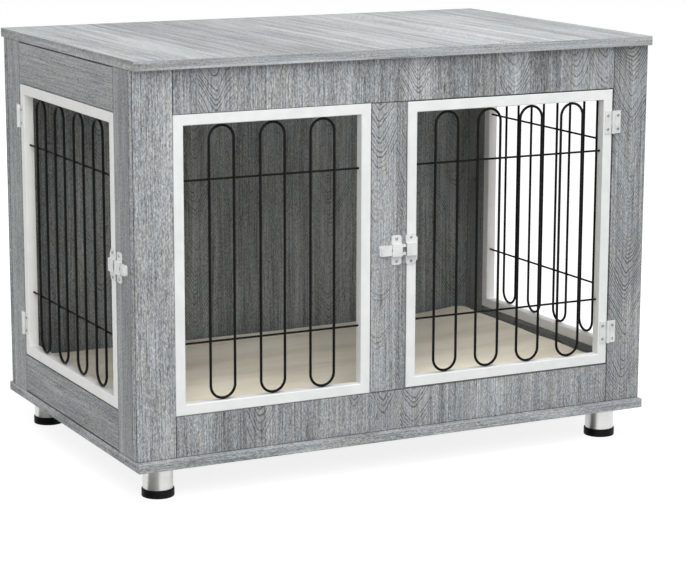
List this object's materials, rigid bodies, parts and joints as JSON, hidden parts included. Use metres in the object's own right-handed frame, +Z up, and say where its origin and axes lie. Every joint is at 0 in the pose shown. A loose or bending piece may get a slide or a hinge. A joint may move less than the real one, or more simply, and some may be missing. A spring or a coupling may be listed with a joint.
{
  "type": "furniture-style pet crate",
  "caption": "Wood-grain cabinet crate for a pet, with framed wire-loop windows, hinged front and side doors with slide latches, round feet and a floor cushion.",
  "frame": {"origin": "on the floor under the middle of the top panel", "axes": "+X along the front to the right as seen from the front, -Y out of the front, +Z up"},
  "size_m": [0.9857, 0.634, 0.728],
  "materials": {
    "wood_grain": "grey wood-grain laminate, satin",
    "white_tube": "white powder coat, satin",
    "black_wire": "black powder coat, semi-gloss",
    "hardware": "light silver, satin",
    "foot_sleeve": "brushed, satin",
    "foot_pad": "matt black",
    "cam_metal": "bright zinc",
    "cushion_fabric": "beige short-pile cloth"
  },
  "bodies": {
    "crate": {"back_panel": "wood_grain", "base_panel": "wood_grain", "cam_nuts": "cam_metal", "cushion": "cushion_fabric", "foot_pads": "foot_pad", "foot_sleeves": "foot_sleeve", "front_bottom_rail": "wood_grain", "front_centre_stile": "wood_grain", "front_latch_guide": "hardware", "front_left_stile": "wood_grain", "front_lower_hinge_pin": "hardware", "front_lower_hinge_post_leaf": "hardware", "front_right_stile": "wood_grain", "front_top_rail": "wood_grain", "front_upper_hinge_pin": "hardware", "front_upper_hinge_post_leaf": "hardware", "front_window_frame": "white_tube", "front_window_grille": "black_wire", "left_bottom_rail": "wood_grain", "left_front_stile": "wood_grain", "left_rear_stile": "wood_grain", "left_top_rail": "wood_grain", "right_bottom_rail": "wood_grain", "right_front_stile": "wood_grain", "right_rear_stile": "wood_grain", "right_top_rail": "wood_grain", "side_latch_guide": "hardware", "side_lower_hinge_pin": "hardware", "side_lower_hinge_post_leaf": "hardware", "side_upper_hinge_pin": "hardware", "side_upper_hinge_post_leaf": "hardware", "side_window_frame": "white_tube", "side_window_grille": "black_wire", "top_panel": "wood_grain"},
    "front_door": {"front_door_frame": "white_tube", "front_door_grille": "black_wire", "front_latch_catch": "hardware", "front_lower_hinge_door_leaf": "hardware", "front_upper_hinge_door_leaf": "hardware"},
    "front_bolt": {"front_latch_bolt": "hardware"},
    "side_door": {"side_door_frame": "white_tube", "side_door_grille": "black_wire", "side_latch_catch": "hardware", "side_lower_hinge_door_leaf": "hardware", "side_upper_hinge_door_leaf": "hardware"},
    "side_bolt": {"side_latch_bolt": "hardware"}
  },
  "joints": [
    {"name": "front_door_hinge", "type": "hinge", "parent": "crate", "child": "front_door", "pos_m": [0.41825, -0.3085, 0.39], "axis": [0, 0, 1], "range_deg": [0, 175]},
    {"name": "side_door_hinge", "type": "hinge", "parent": "crate", "child": "side_door", "pos_m": [-0.4925, 0.22425, 0.39], "axis": [0, 0, -1], "range_deg": [0, 175]},
    {"name": "front_bolt_slide", "type": "slide", "parent": "crate", "child": "front_bolt", "axis": [1, 0, 0], "range_m": [0, 0.012]},
    {"name": "side_bolt_slide", "type": "slide", "parent": "crate", "child": "side_bolt", "axis": [0, 1, 0], "range_m": [0, 0.012]}
  ]
}
